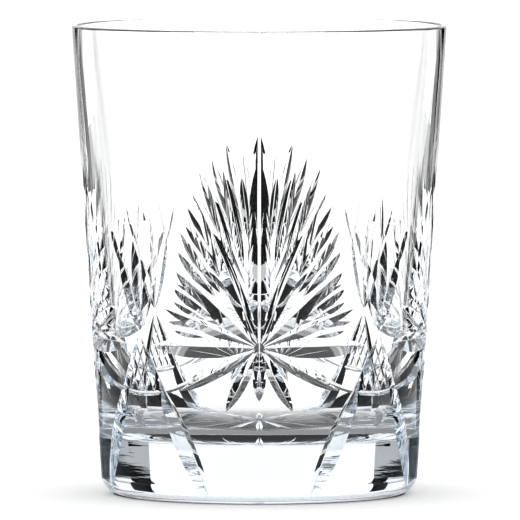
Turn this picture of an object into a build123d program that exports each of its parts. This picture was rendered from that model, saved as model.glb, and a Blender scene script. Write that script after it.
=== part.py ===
from build123d import *
import os
from math import asin, cos, degrees, hypot, radians, sin, sqrt, tan

# Whiskey tumbler: one blown piece of lead crystal with a hand-cut pattern.
# Units are millimetres.  The origin is the centre of the foot, on the surface that
# the glass stands on.  +Z is up, and -Y is the side that carries the front star.

# ---- Body ----
HEIGHT = 100.0
RIM_RADIUS = 40.0
WALL_TAPER = 3.79  # half-angle of the outer cone, degrees
FOOT_CORNER = 4.2  # radius between the wall and the foot
FOOT_RING_INSIDE = 26.0  # inner radius of the ring that the glass stands on
FOOT_RECESS = 0.5
FLOOR_HEIGHT = 12.2
FLOOR_RADIUS = 28.8  # inner cone carried down to the floor
FLOOR_CORNER = 9.5
LIP_WALL = 1.2
LIP_ROUND = 0.55

# ---- Cutting wheel ----
MITRE_HALF_ANGLE = 42.0  # half of the V that the wheel is dressed to
FLAT_HALF_ANGLE = 59.0  # the same on the flatter wheel, for the upper rays of a cross
CLEARANCE = 0.6  # how far a cutter stands above the glass

# ---- Pattern: four stars round the wall, with a cross between each two ----
REPEATS = 4
STAR_AZIMUTH = 0.0
STAR_HEIGHT = 33.3
CROSS_AZIMUTH = 45.0
CROSS_HEIGHT = 35.8

# Rays: heading from straight up in degrees, start and end from the centre, greatest width.
STAR_UPRIGHT_RAYS = [(0, 0.8, 39.6, 4.4), (180, 0.8, 11.3, 2.8)]
STAR_LONG_RAYS = [
    (23, 0.8, 35.9, 3.6),
    (48.5, 0.8, 24.5, 4.0),
    (69, 0.8, 22.5, 2.6),
    (90, 0.8, 24.0, 4.4),
    (118, 0.8, 20.0, 3.2),
    (152, 0.8, 15.3, 2.8),
]
STAR_FINE_RAYS = [
    (5.7, 23.0, 36.5, 1.6),
    (11.0, 17.0, 38.5, 2.3),
    (17.0, 18.0, 36.5, 2.2),
    (29.0, 17.0, 31.0, 2.0),
    (34.8, 14.0, 30.0, 2.4),
    (40.8, 14.0, 27.0, 2.4),
    (56.5, 12.0, 22.5, 2.4),
    (63.0, 13.0, 21.0, 1.6),
    (79.5, 12.0, 19.0, 1.6),
]
CROSS_UPRIGHT_RAY = (0, 0.5, 22.0, 3.2)
CROSS_SIDE_RAY = (18, 0.5, 17.5, 3.0)
CROSS_LONG_MITRE = (155.5, 0.5, 40.5, 2.0)
CROSS_FOOT_MITRE = (155.5, 9.0, 41.0, 4.6)  # the long mitre's broad lower half

# Sprig: two thin leaves (heading, length, width) that open from the end of a side ray.
SPRIG_ACROSS = 5.0
SPRIG_UP = 14.4
SPRIG_LEAVES = [(21, 8.5, 1.4), (-11.5, 11.8, 1.5)]

# Swag: the groove that hangs between two stars, below each cross.
SWAG_LOW_HEIGHT = 23.1
SWAG_RADIUS = 29.0
SWAG_HALF_ANGLE = 28.0
SWAG_RUN_IN = 4.0  # straight length at each end, inside the star's ray
SWAG_DEPTH = 0.55
SWAG_STEPS = 8

# ---- Star under the foot ----
BASE_RAYS = 16
BASE_RAY_START = 1.0
BASE_RAY_END = 24.0
BASE_RAY_WIDTH = 2.6


def wall_radius(z):
    """Outer radius of the uncut wall at height z."""
    return RIM_RADIUS - (HEIGHT - z) * tan(radians(WALL_TAPER))


def step_along(azimuth, z, heading, distance):
    """Azimuth and height reached by going a distance along a heading on the wall."""
    rise = distance * cos(radians(heading)) * cos(radians(WALL_TAPER))
    across = distance * sin(radians(heading))
    return azimuth + degrees(across / wall_radius(z + rise / 2)), z + rise


def wall_plane(azimuth, z, heading):
    """Plane on the wall: x runs along the heading and z points out of the glass."""
    out = Vector(0, -1, 0).rotate(Axis.Z, azimuth)
    up = Vector(0, 0, 1)
    normal = out * cos(radians(WALL_TAPER)) - up * sin(radians(WALL_TAPER))
    slope = up * cos(radians(WALL_TAPER)) + out * sin(radians(WALL_TAPER))
    along = slope * cos(radians(heading)) + up.cross(out) * sin(radians(heading))
    return Plane(out * wall_radius(z) + up * z, x_dir=along, z_dir=normal)


def wheel_cut(place, length, width, bulge=0.0, half_angle=MITRE_HALF_ANGLE):
    """Mitred groove of a cutting wheel, widest halfway and running out at both ends.

    place lies on the glass at the middle of the groove, with x along it, and bulge is
    the curvature of the glass that way.  With a negative radius the groove wraps round
    the glass, and the axis that it is revolved about lies on the inner side.
    """
    depth = width / 2 / tan(radians(half_angle))
    radius = 1 / (8 * depth / length**2 - bulge)
    side = 1 if radius > 0 else -1
    reach = length / 2 * sqrt(1 + CLEARANCE / depth)
    half_arc = degrees(asin(min(reach / abs(radius), 1)))
    height = depth + CLEARANCE
    half_width = height * tan(radians(half_angle))
    centre = place.origin + place.z_dir * (radius - depth)
    axle = Axis(centre, place.y_dir)
    spoke = (place.z_dir * -side).rotate(axle, -half_arc)
    with BuildPart() as cut:
        with BuildSketch(Plane(centre, x_dir=spoke, z_dir=spoke.cross(place.y_dir))):
            with BuildLine():
                base = abs(radius) - side * height
                Polyline((abs(radius), 0), (base, half_width), (base, -half_width), close=True)
            make_face()
        revolve(axis=axle, revolution_arc=2 * half_arc)
    return cut.part


def wall_cut(azimuth, z, heading, start, end, width, half_angle=MITRE_HALF_ANGLE):
    """Groove on the wall from start to end along a heading from the given point."""
    mid_azimuth, mid_z = step_along(azimuth, z, heading, (start + end) / 2)
    bulge = sin(radians(heading)) ** 2 / wall_radius(mid_z)
    place = wall_plane(mid_azimuth, mid_z, heading)
    return wheel_cut(place, end - start, width, bulge, half_angle)


def mirrored(rays):
    """Each ray and its twin on the other side of straight up."""
    return [(side * heading, *rest) for heading, *rest in rays for side in (1, -1)]


def swag_plane(turn, run=0.0):
    """Plane across the swag at an angle along its arc, or a run beyond that."""
    across = SWAG_RADIUS * sin(radians(turn)) + run * cos(radians(turn))
    z = SWAG_LOW_HEIGHT + SWAG_RADIUS * (1 - cos(radians(turn))) + run * sin(radians(turn))
    return wall_plane(CROSS_AZIMUTH + degrees(across / wall_radius(z)), z, 90 - turn)


def swag_cut():
    """Groove of even depth along a hanging arc, straight at both ends."""
    turns = [SWAG_HALF_ANGLE * (2 * step / SWAG_STEPS - 1) for step in range(SWAG_STEPS + 1)]
    first = swag_plane(turns[0], -SWAG_RUN_IN)
    last = swag_plane(turns[-1], SWAG_RUN_IN)
    half_width = (SWAG_DEPTH + CLEARANCE) * tan(radians(MITRE_HALF_ANGLE))
    with BuildPart() as cut:
        with BuildLine() as route:
            Polyline(first.origin, *[swag_plane(turn).origin for turn in turns], last.origin)
        with BuildSketch(Plane(first.origin, x_dir=-first.y_dir, z_dir=first.x_dir)):
            with BuildLine():
                Polyline(
                    (0, -SWAG_DEPTH),
                    (half_width, CLEARANCE),
                    (-half_width, CLEARANCE),
                    close=True,
                )
            make_face()
        sweep(path=route.wires()[0], transition=Transition.RIGHT)
    return cut.part


# ---- Cutters: one star, one cross, one swag and one ray under the foot ----
cuts = [
    wall_cut(STAR_AZIMUTH, STAR_HEIGHT, *ray)
    for ray in STAR_UPRIGHT_RAYS + mirrored(STAR_LONG_RAYS + STAR_FINE_RAYS)
]
cuts += [
    wall_cut(CROSS_AZIMUTH, CROSS_HEIGHT, *ray, FLAT_HALF_ANGLE)
    for ray in [CROSS_UPRIGHT_RAY] + mirrored([CROSS_SIDE_RAY])
]
cuts += [
    wall_cut(CROSS_AZIMUTH, CROSS_HEIGHT, *ray)
    for ray in mirrored([CROSS_LONG_MITRE, CROSS_FOOT_MITRE])
]
for side in (1, -1):
    heading = side * degrees(asin(SPRIG_ACROSS / hypot(SPRIG_ACROSS, SPRIG_UP)))
    sprig_place = step_along(CROSS_AZIMUTH, CROSS_HEIGHT, heading, hypot(SPRIG_ACROSS, SPRIG_UP))
    for leaf_heading, length, width in SPRIG_LEAVES:
        leaf = (side * leaf_heading, 0, length, width)
        cuts.append(wall_cut(*sprig_place, *leaf, FLAT_HALF_ANGLE))
cuts.append(swag_cut())

base_cut = wheel_cut(
    Plane(((BASE_RAY_START + BASE_RAY_END) / 2, 0, FOOT_RECESS), x_dir=(1, 0, 0), z_dir=(0, 0, -1)),
    BASE_RAY_END - BASE_RAY_START,
    BASE_RAY_WIDTH,
)

# ---- Tumbler: the blown blank, then the pattern cut into it ----
with BuildPart() as tumbler:
    with BuildSketch(Plane.XZ) as section:
        with BuildLine():
            Polyline(
                (0, FOOT_RECESS),
                (FOOT_RING_INSIDE - FOOT_RECESS, FOOT_RECESS),
                (FOOT_RING_INSIDE, 0),
                (wall_radius(0), 0),
                (RIM_RADIUS, HEIGHT),
                (RIM_RADIUS - LIP_WALL, HEIGHT),
                (FLOOR_RADIUS, FLOOR_HEIGHT),
                (0, FLOOR_HEIGHT),
                close=True,
            )
        make_face()
        corners = section.vertices()
        fillet(corners.sort_by_distance((wall_radius(0), 0))[0], FOOT_CORNER)
        fillet(corners.sort_by_distance((FLOOR_RADIUS, FLOOR_HEIGHT))[0], FLOOR_CORNER)
        fillet(corners.sort_by_distance((RIM_RADIUS, HEIGHT))[:2], LIP_ROUND)
    revolve(axis=Axis.Z)
    for cut in cuts:
        with PolarLocations(0, REPEATS):
            add(cut, mode=Mode.SUBTRACT)
    with PolarLocations(0, BASE_RAYS):
        add(base_cut, mode=Mode.SUBTRACT)

os.makedirs("parts", exist_ok=True)
tumbler.part.label = "tumbler"
export_step(tumbler.part, "parts/tumbler.step")
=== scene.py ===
"""Hand-cut lead-crystal whiskey tumbler on a white table, lit from all round between black cards."""

from math import atan2, cos, hypot, pi, radians, sin, tan

import bmesh
import bpy
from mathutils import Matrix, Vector


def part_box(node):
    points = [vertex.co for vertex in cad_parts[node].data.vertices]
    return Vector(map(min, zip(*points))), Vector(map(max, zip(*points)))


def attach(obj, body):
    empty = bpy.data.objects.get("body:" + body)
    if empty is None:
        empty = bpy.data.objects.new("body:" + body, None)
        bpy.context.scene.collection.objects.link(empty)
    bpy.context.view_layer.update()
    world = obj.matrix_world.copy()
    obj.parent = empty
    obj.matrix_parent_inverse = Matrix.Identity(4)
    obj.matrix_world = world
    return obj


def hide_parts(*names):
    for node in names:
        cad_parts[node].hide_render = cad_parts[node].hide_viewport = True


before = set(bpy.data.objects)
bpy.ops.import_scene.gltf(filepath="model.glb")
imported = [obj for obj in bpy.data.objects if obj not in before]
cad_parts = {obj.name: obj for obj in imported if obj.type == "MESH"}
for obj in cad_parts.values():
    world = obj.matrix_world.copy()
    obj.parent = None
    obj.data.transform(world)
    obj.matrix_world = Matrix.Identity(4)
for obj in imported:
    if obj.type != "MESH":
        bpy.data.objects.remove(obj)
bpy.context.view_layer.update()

NODE = "tumbler"
FOOT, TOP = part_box(NODE)
MM = 0.001

# Turns go round the axis of the glass from its front, which faces -Y and carries the front star.

# ---- Blank: the uncut glass ----
HEIGHT = TOP[2] - FOOT[2]
RIM_RADIUS = (TOP[0] - FOOT[0]) / 2
WALL_TAPER = radians(3.79)
FOOT_CORNER = 4.2 * MM
FOOT_RING_INSIDE = 26.0 * MM
FOOT_RECESS = 0.5 * MM
FLOOR_HEIGHT = 12.2 * MM
FLOOR_RADIUS = 28.8 * MM  # inner cone carried down to the floor
FLOOR_CORNER = 9.5 * MM
LIP_WALL = 1.2 * MM
LIP_ROUND = 0.5 * MM

# Facets: round the glass, and along each stretch of its profile.
AROUND = 384
RECESS_STEPS = 8
CORNER_STEPS = 16
LIP_STEPS = 12
WALL_STEPS = 12
BOWL_STEPS = 24
FLOOR_STEPS = 6

# ---- Cutting wheel ----
FLANK_SLOPE = radians(46)  # between the wall and each side of the V
CROSS_SLOPE = radians(31)  # the same in the upper rays of a cross, cut on a flatter wheel
CLEARANCE = 1.0 * MM  # how far a cutter stands above the glass
RUN_OUT = 1.12  # a cutter goes on past the end of its groove by this factor
BOTTOM_ROUND = 0.1  # radius of a ray's bottom, against half its width
BOTTOM_STEPS = 5
FULLNESS = 2.6  # power that a ray's depth runs out by, unless the ray has its own

# ---- Pattern: four stars round the wall, with a cross between each two ----
REPEATS = 4
STAR_HEIGHT = 33.3 * MM
CROSS_TURN = radians(45)
CROSS_HEIGHT = 35.8 * MM

# Rays: heading from straight up in degrees, then start, end and greatest width in millimetres.
# Some add half the width of a flat bottom, in millimetres, and the ray's own fullness.
STAR_UPRIGHT_RAYS = [(0, 0.8, 39.6, 4.8, 0.2, 3.4), (180, 0.8, 11.3, 2.8)]
STAR_LONG_RAYS = [
    (23, 0.8, 35.9, 3.6),
    (48.5, 0.8, 24.5, 4.0),
    (69, 0.8, 22.5, 2.6),
    (90, 0.8, 24.0, 4.4),
    (118, 0.8, 20.0, 3.2),
    (152, 0.8, 15.3, 2.8),
]
STAR_FINE_RAYS = [
    (5.7, 23.0, 36.5, 1.6),
    (11.0, 17.0, 38.5, 2.3),
    (17.0, 18.0, 36.5, 2.2),
    (29.0, 17.0, 31.0, 2.0),
    (34.8, 14.0, 30.0, 2.4),
    (40.8, 14.0, 27.0, 2.4),
    (56.5, 12.0, 22.5, 2.4),
    (63.0, 13.0, 21.0, 1.6),
    (79.5, 12.0, 19.0, 1.6),
]
CROSS_UPRIGHT_RAY = (0, 0.5, 22.0, 3.2)
CROSS_SIDE_RAY = (18, 0.5, 17.5, 3.0)
CROSS_LONG_MITRE = (155.5, 0.5, 40.5, 2.0, 0, 4)
CROSS_FOOT_MITRE = (155.5, 9.0, 41.0, 4.6, 0, 2)  # the long mitre's broad lower half
RAY_STEPS = 28

# Sprig: two thin leaves, as rays, that open from the end of a cross's side ray.
SPRIG_ACROSS = 5.0 * MM
SPRIG_UP = 14.4 * MM
SPRIG_LEAVES = [(21, 0, 8.5, 1.4), (-11.5, 0, 11.8, 1.5)]

# Swag: the groove that hangs between two stars, below each cross.
SWAG_LOW_HEIGHT = 23.1 * MM
SWAG_RADIUS = 29.0 * MM
SWAG_HALF_ANGLE = radians(28)
SWAG_RUN_IN = 4.0 * MM  # straight length at each end, inside the star's ray
SWAG_DEPTH = 0.55 * MM
SWAG_BOTTOM = 0.15 * MM
SWAG_STEPS = 36

# Hatch: crossing lines in the diamond between a cross's two long mitres and the swag.
HATCH_LINES = 5
HATCH_SPACING = 2.0 * MM
HATCH_DEPTH = 0.18 * MM
HATCH_BOTTOM = 0.05 * MM
HATCH_FADE = 0.3  # share of each half of a line over which it gets shallower
HATCH_END_LOSS = 0.5  # share of its depth lost by the end
HATCH_OVERRUN = 0.01  # share of its length that a line goes on by at each end
HATCH_STEPS = 10

# Star under the foot.
BASE_RAYS = 16
BASE_RAY_START = 1.0 * MM
BASE_RAY_END = 24.0 * MM
BASE_RAY_DEPTH = 0.8 * MM
BASE_RAY_BOTTOM = 0.2 * MM
BASE_RAY_FULLNESS = 2
BASE_RAY_STEPS = 16

# ---- Shading ----
CREASE = radians(28)  # edges sharper than this stay crisp within one groove
WALL_TOLERANCE = 0.1 * MM  # how close to the uncut wall a face counts as part of it

# ---- Crystal ----
REFRACTION = 1.545
SPECULAR_TINT = (0.1, 0.1, 0.1)
DEPTH_COLOUR = (0.55, 0.66, 0.76)
DEPTH_DENSITY = 7
BLOWN_WAVES = (55, 55, 40)  # waves per metre along each axis
BLOWN_DETAIL = 1
BLOWN_HEIGHT = 0.04 * MM
WHEEL_LINES = (30, 30, 900)
WHEEL_DETAIL = 3
WHEEL_HEIGHT = 0.013 * MM
WHEEL_FADE = (14 * MM, 26 * MM)  # heights between which the wheel lines fade
WHEEL_LEFT = 0.08  # share of them left above that

# ---- Studio ----
GAMMA = 0.75
BACKLIGHT = 1.25
MAX_BOUNCES = 32
GLOSSY_BOUNCES = 16

CAMERA_DISTANCE = 2.38
CAMERA_HEIGHT = 0.190
FRAME_WIDTH = 0.1108  # what the picture spans at the glass
SENSOR_WIDTH = 36
VIEW_END = 20
AIM = Vector((0.15 * MM, 0, 49.8 * MM))

TABLE_SIZE = 6.0
TABLE_SHADE = 0.97
MATTE = 0.9
CARD_SHADE = 0.003
SHEET_SHADE = 0.02
STRIP_SHADE = 0.55

# Cards and sheets stand behind the glass on both sides.  Their turns go from straight behind it.
TABLE_GAP = 0.4 * MM
CARD_RADIUS = 0.26
CARD_STEP = 0.002  # how far the cards stand in front of the foot card and the strip
CARD_STEPS = 16
CARD_BOTTOM = 16 * MM
CARD_TOP = 98 * MM
WING_LOW_TOP = 50 * MM
# Name, inner and outer turn, then the bottom's and the top's heights at these two turns.
CARDS = [
    ("card", radians(28.5), radians(39), (CARD_BOTTOM, CARD_BOTTOM), (CARD_TOP, CARD_TOP)),
    ("wing", radians(54), radians(77), (TABLE_GAP, TABLE_GAP), (CARD_TOP, WING_LOW_TOP)),
]
LEFT_SHIFT = radians(2.5)  # the left card starts this much further out

# Foot card: a low black wedge, with a grey strip from its slanting edge up to an even height.
FOOT_CARD_INNER = radians(28.5)
FOOT_CARD_OUTER = radians(59)
FOOT_CARD_LOW = 7.2 * MM
FOOT_CARD_HIGH = 20 * MM
STRIP_HIGH = 30 * MM

# Dark sheets on the table: name, inner and outer turn, and the two radii between which each lies.
SHEETS = [
    ("sheet", radians(18), radians(110), (0.045, 0.15)),
    ("apron", radians(25), radians(40), (0.15, 0.256)),
]

# Under the foot: a painted contact shadow, a dark line along the contact, and painted shade seen
# through the base, two dimly glowing discs.
CONTACT_GAP = 0.1 * MM
PAINTED_SHADOW_RINGS = (27 * MM, 31.2 * MM)
# Painted shade: the discs' glow strengths stand in for the dimly lit table under the glass; they are
# not lamps.
PAINTED_SHADE_DISCS = [("disc_middle", (1 * MM, 25.5 * MM), 0.08), ("disc_rim", (25.5 * MM, 31.2 * MM), 0.42)]
RING_STEPS = 48


# ---- The wall as a surface ----
def wall_radius(z):
    """Outer radius of the uncut wall at height z."""
    return RIM_RADIUS - (HEIGHT - z) * tan(WALL_TAPER)


def outward(turn):
    """Level direction out of the glass at a turn."""
    return Vector((sin(turn), -cos(turn), 0))


def on_wall(turn, z):
    """Point on the uncut wall and the direction out of the glass there."""
    out = outward(turn)
    normal = out * cos(WALL_TAPER) - Vector((0, 0, sin(WALL_TAPER)))
    return out * wall_radius(z) + Vector((0, 0, z)), normal


def step_along(turn, z, heading, distance):
    """Turn and height reached by going a distance along a heading on the wall."""
    rise = distance * cos(heading) * cos(WALL_TAPER)
    return turn + distance * sin(heading) / wall_radius(z + rise / 2), z + rise


# ---- Stations: a groove's points on the glass, each with the direction out of it and the depth ----
def lens_depths(depth, steps, fullness):
    """Places along a groove and the depth at each: none at -1 and 1, and above the glass past them."""
    places = [RUN_OUT * (2 * step / steps - 1) for step in range(steps + 1)]
    return [(place, depth * (1 - abs(place) ** fullness)) for place in places]


def ray_stations(slope, turn, z, heading, start, end, width, flat=0, fullness=FULLNESS):
    """Straight ray on the wall, widest halfway and running out at both ends."""
    stations = []
    depth = (width / 2 - flat) * tan(slope) * MM
    for place, here in lens_depths(depth, RAY_STEPS, fullness):
        distance = ((start + end) + (end - start) * place) / 2 * MM
        stations.append((*on_wall(*step_along(turn, z, radians(heading), distance)), here))
    return stations


def swag_stations(turn):
    """Swag below the cross at a turn, of one depth all along its arc and its straight ends."""
    stations = []
    half_arc = SWAG_RADIUS * SWAG_HALF_ANGLE
    reach = half_arc + SWAG_RUN_IN
    for step in range(SWAG_STEPS + 1):
        along = reach * (2 * step / SWAG_STEPS - 1)
        bend = max(-half_arc, min(half_arc, along)) / SWAG_RADIUS
        run = along - bend * SWAG_RADIUS
        across = SWAG_RADIUS * sin(bend) + run * cos(bend)
        z = SWAG_LOW_HEIGHT + SWAG_RADIUS * (1 - cos(bend)) + run * sin(bend)
        stations.append((*on_wall(turn + across / wall_radius(z), z), SWAG_DEPTH))
    return stations


def hatch_stations(turn, side, line):
    """One line of the hatch, from one long mitre down to the swag, or None where it has no room."""
    lean = pi - radians(CROSS_LONG_MITRE[0])
    start = line * HATCH_SPACING / sin(2 * lean)
    drop = (CROSS_HEIGHT - SWAG_LOW_HEIGHT) / cos(lean) - start
    if drop <= HATCH_SPACING:
        return None
    foot = step_along(turn, CROSS_HEIGHT, pi - side * lean, start)
    stations = []
    for step in range(HATCH_STEPS + 1):
        place = step / HATCH_STEPS
        into_fade = max(0, abs(2 * place - 1) - (1 - HATCH_FADE)) / HATCH_FADE
        distance = drop * (place * (1 + 2 * HATCH_OVERRUN) - HATCH_OVERRUN)
        point = on_wall(*step_along(*foot, pi + side * lean, distance))
        stations.append((*point, HATCH_DEPTH * (1 - into_fade * HATCH_END_LOSS)))
    return stations


def base_stations(turn):
    """One ray of the star under the foot."""
    stations = []
    middle = (BASE_RAY_START + BASE_RAY_END) / 2
    half = (BASE_RAY_END - BASE_RAY_START) / 2
    for place, here in lens_depths(BASE_RAY_DEPTH, BASE_RAY_STEPS, BASE_RAY_FULLNESS):
        point = outward(turn) * (middle + half * place) + Vector((0, 0, FOOT_RECESS))
        stations.append((point, Vector((0, 0, -1)), here))
    return stations


# ---- Pattern: grooves, each as its stations, bottom radius, half its flat bottom, and slope ----
QUARTERS = [2 * pi * k / REPEATS for k in range(REPEATS)]


def rays(turn, z, ray, slope=FLANK_SLOPE):
    """One ray in every quarter of the glass."""
    bottom = BOTTOM_ROUND * ray[3] / 2 * MM
    flat = ray[4] * MM if len(ray) > 4 else 0
    return [(ray_stations(slope, turn + quarter, z, *ray), bottom, flat, slope) for quarter in QUARTERS]


def both(ray):
    """A ray and its twin on the other side of straight up."""
    return [(side * ray[0], *ray[1:]) for side in (1, -1)]


def star():
    """Steps of cutting for the four stars."""
    steps = [rays(0, STAR_HEIGHT, ray) for ray in STAR_UPRIGHT_RAYS]
    for ray in STAR_LONG_RAYS + STAR_FINE_RAYS:
        steps += [rays(0, STAR_HEIGHT, twin) for twin in both(ray)]
    return steps


def cross():
    """Steps of cutting for the four crosses, with their sprigs."""
    place = (CROSS_TURN, CROSS_HEIGHT)
    steps = [rays(*place, CROSS_UPRIGHT_RAY, CROSS_SLOPE)]
    steps += [rays(*place, twin, CROSS_SLOPE) for twin in both(CROSS_SIDE_RAY)]
    for ray in (CROSS_LONG_MITRE, CROSS_FOOT_MITRE):
        steps += [rays(*place, twin) for twin in both(ray)]
    sprig_heading = atan2(SPRIG_ACROSS, SPRIG_UP)
    for side in (1, -1):
        sprig = step_along(*place, side * sprig_heading, hypot(SPRIG_ACROSS, SPRIG_UP))
        for heading, *rest in SPRIG_LEAVES:
            steps.append(rays(*sprig, (side * heading, *rest), CROSS_SLOPE))
    return steps


def swag():
    """The one step of cutting for the four swags."""
    routes = [swag_stations(CROSS_TURN + quarter) for quarter in QUARTERS]
    return [[(stations, SWAG_BOTTOM, 0, FLANK_SLOPE) for stations in routes]]


def hatch():
    """Steps of cutting for the crossing lines of the hatch."""
    steps = []
    for side in (1, -1):
        for line in range(1, HATCH_LINES + 1):
            routes = [hatch_stations(CROSS_TURN + quarter, side, line) for quarter in QUARTERS]
            if routes[0]:
                steps.append([(stations, HATCH_BOTTOM, 0, CROSS_SLOPE) for stations in routes])
    return steps


def base_star():
    """Steps of cutting for the star under the foot, one for each ray."""
    turns = [2 * pi * k / BASE_RAYS for k in range(BASE_RAYS)]
    return [[(base_stations(turn), BASE_RAY_BOTTOM, 0, FLANK_SLOPE)] for turn in turns]


# ---- Meshes ----
def arc(centre, radius, start, end, steps):
    """Points of a circular arc in the section plane, both ends included."""
    turns = [start + (end - start) * step / steps for step in range(steps + 1)]
    return [(centre[0] + radius * cos(t), centre[1] + radius * sin(t)) for t in turns]


def blank_profile():
    """Half section of the uncut glass, from the axis under the foot round to the axis on the floor."""
    taper = WALL_TAPER
    inner_taper = atan2(RIM_RADIUS - LIP_WALL - FLOOR_RADIUS, HEIGHT - FLOOR_HEIGHT)
    corner = (wall_radius(FOOT_CORNER) - FOOT_CORNER / cos(taper), FOOT_CORNER)
    half_lip = LIP_WALL / 2
    lip_z = HEIGHT - half_lip
    lip = (wall_radius(lip_z) - half_lip / cos(taper), lip_z)
    bowl_r = FLOOR_RADIUS + FLOOR_CORNER * tan(inner_taper) - FLOOR_CORNER / cos(inner_taper)
    bowl = (bowl_r, FLOOR_HEIGHT + FLOOR_CORNER)
    wall_top = (lip[0] - half_lip * cos(inner_taper), lip_z)
    wall_low = (bowl[0] + FLOOR_CORNER * cos(inner_taper), bowl[1] - FLOOR_CORNER * sin(inner_taper))

    points = [(FOOT_RING_INSIDE * k / RECESS_STEPS, FOOT_RECESS) for k in range(RECESS_STEPS)]
    points += [(FOOT_RING_INSIDE - FOOT_RECESS, FOOT_RECESS), (FOOT_RING_INSIDE, 0)]
    points += arc(corner, FOOT_CORNER, -pi / 2, -taper, CORNER_STEPS)
    points += arc(lip, half_lip, -taper, pi / 2, LIP_STEPS)[:-1]
    points += arc(lip, half_lip, pi / 2, pi - inner_taper, LIP_STEPS)
    for k in range(1, WALL_STEPS):
        points.append(tuple(top + (low - top) * k / WALL_STEPS for top, low in zip(wall_top, wall_low)))
    points += arc(bowl, FLOOR_CORNER, -inner_taper, -pi / 2, BOWL_STEPS)
    points += [(bowl_r * (1 - k / FLOOR_STEPS), FLOOR_HEIGHT) for k in range(1, FLOOR_STEPS)]
    return points + [(0, FLOOR_HEIGHT)]


def finished_mesh(name, bm):
    """A new mesh with what the bmesh holds."""
    mesh = bpy.data.meshes.new(name)
    bm.to_mesh(mesh)
    bm.free()
    return mesh


def lathe(name, profile):
    """Closed mesh turned round the axis from a profile that starts and ends on it, marked as cut 0."""
    bm = bmesh.new()
    bm.faces.layers.int.new("cut")
    turns = [2 * pi * k / AROUND for k in range(AROUND)]
    rings = []
    for radius, z in profile[1:-1]:
        rings.append([bm.verts.new((radius * sin(turn), -radius * cos(turn), z)) for turn in turns])
    first = bm.verts.new((0, 0, profile[0][1]))
    last = bm.verts.new((0, 0, profile[-1][1]))
    for k in range(AROUND):
        n = (k + 1) % AROUND
        bm.faces.new((first, rings[0][n], rings[0][k]))
        bm.faces.new((last, rings[-1][k], rings[-1][n]))
        for low, high in zip(rings, rings[1:]):
            bm.faces.new((low[k], low[n], high[n], high[k]))
    return finished_mesh(name, bm)


def groove(bm, stations, bottom, flat, slope, number, key):
    """Adds the closed body that a wheel takes out: a V with a rounded or flat bottom."""
    rings = []
    for index, (point, normal, depth) in enumerate(stations):
        before = stations[max(index - 1, 0)][0]
        after = stations[min(index + 1, len(stations) - 1)][0]
        side = (after - before).cross(normal).normalized()
        half_width = (depth + CLEARANCE) * tan(pi / 2 - slope) + flat
        centre = -depth + bottom / sin(pi / 2 - slope)
        section = [(-half_width, CLEARANCE)]
        for step in range(BOTTOM_STEPS + 1):
            swing = slope * (2 * step / BOTTOM_STEPS - 1)
            shift = flat if swing > 0 else -flat
            section.append((bottom * sin(swing) + shift, centre - bottom * cos(swing)))
        section.append((half_width, CLEARANCE))
        rings.append([bm.verts.new(point + side * x + normal * y) for x, y in section])
    count = len(rings[0])
    for low, high in zip(rings, rings[1:]):
        for a in range(count):
            b = (a + 1) % count
            bm.faces.new((low[a], high[a], high[b], low[b]))[key] = number
    bm.faces.new(rings[0])[key] = number
    bm.faces.new(reversed(rings[-1]))[key] = number


def cutter_mesh(name, grooves, number):
    """Mesh of the grooves of one step, which don't touch each other, marked with the step's number."""
    bm = bmesh.new()
    key = bm.faces.layers.int.new("cut")
    for stations, bottom, flat, slope in grooves:
        groove(bm, stations, bottom, flat, slope, number, key)
    return finished_mesh(name, bm)


def build_glass():
    """The blank with every groove taken out of it, as one mesh."""
    glass = bpy.data.objects.new("cut_glass", lathe("cut_glass", blank_profile()))
    bpy.context.scene.collection.objects.link(glass)
    cutters = []
    for number, grooves in enumerate(star() + cross() + swag() + hatch() + base_star(), start=1):
        cutter = bpy.data.objects.new(f"cutter_{number}", cutter_mesh("cutter", grooves, number))
        bpy.context.scene.collection.objects.link(cutter)
        cut = glass.modifiers.new(cutter.name, "BOOLEAN")
        cut.operation = "DIFFERENCE"
        cut.solver = "MANIFOLD"
        cut.object = cutter
        cutters.append(cutter)
    graph = bpy.context.evaluated_depsgraph_get()
    mesh = bpy.data.meshes.new_from_object(glass.evaluated_get(graph))
    glass.modifiers.clear()
    glass.data = mesh
    for cutter in cutters:
        bpy.data.objects.remove(cutter)
    return glass


def finish_shading(mesh):
    """Crisp edges wherever two cuts meet, smooth faces elsewhere, and the wall's true normals."""
    bm = bmesh.new()
    bm.from_mesh(mesh)
    key = bm.faces.layers.int["cut"]
    for face in bm.faces:
        face.smooth = True
    for edge in bm.edges:
        one, other = edge.link_faces
        edge.smooth = one[key] == other[key] and edge.calc_face_angle(0) < CREASE
    bm.to_mesh(mesh)
    bm.free()
    tilt = Vector((0, 0, -sin(WALL_TAPER)))
    normals = [Vector((0, 0, 0))] * len(mesh.loops)
    cut = mesh.attributes["cut"].data
    for face in mesh.polygons:
        middle = face.center
        on_cone = abs(hypot(middle.x, middle.y) - wall_radius(middle.z)) < WALL_TOLERANCE
        if cut[face.index].value or not on_cone or not FOOT_CORNER < middle.z < HEIGHT - LIP_ROUND:
            continue
        for loop in face.loop_indices:
            place = mesh.vertices[mesh.loops[loop].vertex_index].co
            out = Vector((place.x, place.y, 0)).normalized()
            normals[loop] = out * cos(WALL_TAPER) + tilt
    mesh.normals_split_custom_set(normals)


# ---- Materials ----
def material(name):
    """A node material with its tree and its Principled shader."""
    made = bpy.data.materials.new(name)
    made.use_nodes = True
    return made, made.node_tree, made.node_tree.nodes["Principled BSDF"]


def noise(tree, place, stretch, detail):
    """Height of a smooth noise with a number of waves per metre along each axis."""
    mapping = tree.nodes.new("ShaderNodeMapping")
    mapping.inputs["Scale"].default_value = stretch
    tree.links.new(place, mapping.inputs["Vector"])
    texture = tree.nodes.new("ShaderNodeTexNoise")
    texture.inputs["Scale"].default_value = 1
    texture.inputs["Detail"].default_value = detail
    tree.links.new(mapping.outputs["Vector"], texture.inputs["Vector"])
    return texture.outputs["Fac"]


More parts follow.
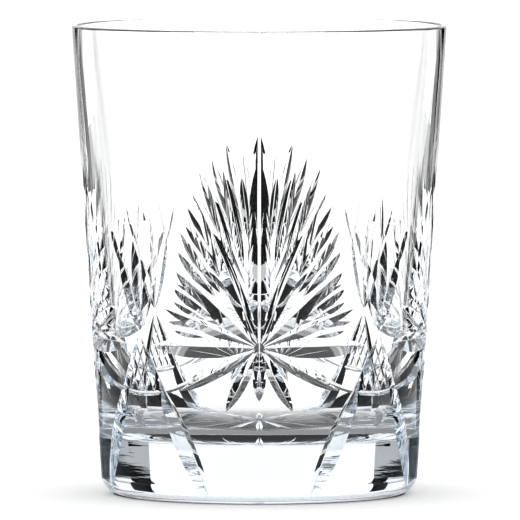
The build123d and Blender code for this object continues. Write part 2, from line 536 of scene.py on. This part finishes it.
def bump(tree, height, distance):
    """Bump node over a height."""
    made = tree.nodes.new("ShaderNodeBump")
    made.inputs["Distance"].default_value = distance
    tree.links.new(height, made.inputs["Height"])
    return made


def surface_normal(tree):
    """Waves of blown glass all over, and wheel lines that fade out above the base."""
    place = tree.nodes.new("ShaderNodeTexCoord").outputs["Object"]
    waves = bump(tree, noise(tree, place, BLOWN_WAVES, BLOWN_DETAIL), BLOWN_HEIGHT)
    lines = bump(tree, noise(tree, place, WHEEL_LINES, WHEEL_DETAIL), WHEEL_HEIGHT)
    tree.links.new(waves.outputs["Normal"], lines.inputs["Normal"])
    low = tree.nodes.new("ShaderNodeSeparateXYZ")
    tree.links.new(place, low.inputs["Vector"])
    fade = tree.nodes.new("ShaderNodeMapRange")
    fade.inputs["From Min"].default_value = WHEEL_FADE[0]
    fade.inputs["From Max"].default_value = WHEEL_FADE[1]
    fade.inputs["To Min"].default_value = 1
    fade.inputs["To Max"].default_value = WHEEL_LEFT
    tree.links.new(low.outputs["Z"], fade.inputs["Value"])
    tree.links.new(fade.outputs["Result"], lines.inputs["Strength"])
    return lines.outputs["Normal"]


def crystal():
    """Clear lead crystal: polished, faintly cool in depth."""
    made, tree, shader = material("lead_crystal")
    shader.inputs["Base Color"].default_value = (1, 1, 1, 1)
    shader.inputs["Transmission Weight"].default_value = 1
    shader.inputs["IOR"].default_value = REFRACTION
    shader.inputs["Roughness"].default_value = 0
    shader.inputs["Specular Tint"].default_value = (*SPECULAR_TINT, 1)
    depth = tree.nodes.new("ShaderNodeVolumeAbsorption")
    depth.inputs["Color"].default_value = (*DEPTH_COLOUR, 1)
    depth.inputs["Density"].default_value = DEPTH_DENSITY
    tree.links.new(depth.outputs["Volume"], tree.nodes["Material Output"].inputs["Volume"])
    tree.links.new(surface_normal(tree), shader.inputs["Normal"])
    return made


def plain(name, shade, glow=0):
    """A plain matte grey of one shade, or a surface that glows white."""
    made, _, shader = material(name)
    shader.inputs["Base Color"].default_value = (shade, shade, shade, 1)
    shader.inputs["Roughness"].default_value = MATTE
    shader.inputs["Specular IOR Level"].default_value = 0
    shader.inputs["Emission Color"].default_value = (1, 1, 1, 1)
    shader.inputs["Emission Strength"].default_value = glow
    return made


# ---- Staging ----
def studio_light():
    """Even white light from all round."""
    world = bpy.data.worlds.new("white_room")
    bpy.context.scene.world = world
    world.use_nodes = True
    shade = world.node_tree.nodes["Background"]
    shade.inputs["Color"].default_value = (1, 1, 1, 1)
    shade.inputs["Strength"].default_value = BACKLIGHT


def table():
    """White table top."""
    half = TABLE_SIZE / 2
    mesh = bpy.data.meshes.new("table_top")
    corners = [(-half, -half, 0), (half, -half, 0), (half, half, 0), (-half, half, 0)]
    mesh.from_pydata(corners, [], [(0, 1, 2, 3)])
    top = bpy.data.objects.new("table_top", mesh)
    bpy.context.scene.collection.objects.link(top)
    mesh.materials.append(plain("table_white", TABLE_SHADE))


def strip(name, ring_a, ring_b, shade):
    """A strip between two rows of points, seen only through the glass and in it."""
    steps = len(ring_a) - 1
    mesh = bpy.data.meshes.new(name)
    verts = [point for pair in zip(ring_a, ring_b) for point in pair]
    mesh.from_pydata(verts, [], [(2 * k, 2 * k + 2, 2 * k + 3, 2 * k + 1) for k in range(steps)])
    mesh.materials.append(shade)
    sheet = bpy.data.objects.new(name, mesh)
    bpy.context.scene.collection.objects.link(sheet)
    sheet.visible_camera = False
    sheet.visible_diffuse = False
    sheet.visible_shadow = False
    return sheet


def around(side, inner, outer, radius, low, high, steps=CARD_STEPS):
    """Points behind the glass from one turn to another, their height going evenly from low to high."""
    points = []
    for k in range(steps + 1):
        turn = side * (inner + (outer - inner) * k / steps)
        points.append((radius * sin(turn), radius * cos(turn), low + (high - low) * k / steps))
    return points


def black_cards(black):
    """Curved black cards on both sides behind the glass, and dark sheets on the table before them."""
    grey = plain("strip_grey", STRIP_SHADE)
    dark = plain("sheet_dark", SHEET_SHADE)
    for name, side, shift in (("left", -1, LEFT_SHIFT), ("right", 1, 0)):
        base = (side, FOOT_CARD_INNER + shift, FOOT_CARD_OUTER, CARD_RADIUS)
        slant = around(*base, FOOT_CARD_LOW, FOOT_CARD_HIGH)
        strip(f"foot_{name}", around(*base, TABLE_GAP, TABLE_GAP), slant, black)
        strip(f"strip_{name}", slant, around(*base, STRIP_HIGH, STRIP_HIGH), grey)
        for part, inner, outer, bottom, top in CARDS:
            span = (side, inner + shift, outer, CARD_RADIUS - CARD_STEP)
            strip(f"{part}_{name}", around(*span, *bottom), around(*span, *top), black)
        for part, inner, outer, radii in SHEETS:
            rows = [around(side, inner, outer, radius, TABLE_GAP, TABLE_GAP) for radius in radii]
            strip(f"{part}_{name}", *rows, dark)


def under_foot(name, radii, shade):
    """A flat ring between the foot and the table."""
    circle = (1, 0, 2 * pi)
    rows = [around(*circle, radius, CONTACT_GAP, CONTACT_GAP, RING_STEPS) for radius in radii]
    return strip(name, *rows, shade)


def paint_shade_under_foot(black):
    """Painted contact shadow: the dark line where the foot meets the table; and painted shade under the
    foot: the dimness seen through the base, from discs that glow.
    """
    # Painted shadow: a black ring seen by the camera, standing in for the shade where the foot meets
    # the table.
    line = under_foot("painted_contact_shadow", PAINTED_SHADOW_RINGS, black)
    line.visible_camera = True
    line.visible_transmission = False
    line.visible_glossy = False
    # Painted light and shade: discs under the foot glow at set levels, standing in for the dim table
    # seen through the base.
    for name, radii, glow in PAINTED_SHADE_DISCS:
        under_foot(name, radii, plain(f"{name}_glow", 0, glow))


def camera():
    """Long lens, a little above the glass, square on to one star."""
    data = bpy.data.cameras.new("camera")
    data.sensor_width = SENSOR_WIDTH
    place = Vector((AIM.x, -CAMERA_DISTANCE, CAMERA_HEIGHT))
    data.lens = data.sensor_width * (place - AIM).length / FRAME_WIDTH
    data.clip_end = VIEW_END
    viewer = bpy.data.objects.new("camera", data)
    viewer.location = place
    viewer.rotation_euler = (AIM - place).to_track_quat("-Z", "Y").to_euler()
    bpy.context.scene.collection.objects.link(viewer)
    bpy.context.scene.camera = viewer


# ---- Put it together ----
glass = build_glass()
finish_shading(glass.data)
glass.data.materials.clear()
glass.data.materials.append(crystal())
glass.visible_shadow = False
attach(glass, "root")
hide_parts(NODE)

table()
black = plain("card_black", CARD_SHADE)
black_cards(black)
paint_shade_under_foot(black)
studio_light()
camera()

scene = bpy.context.scene
scene.view_settings.view_transform = "Standard"
scene.view_settings.gamma = GAMMA
scene.cycles.max_bounces = MAX_BOUNCES
scene.cycles.transmission_bounces = MAX_BOUNCES
scene.cycles.glossy_bounces = GLOSSY_BOUNCES
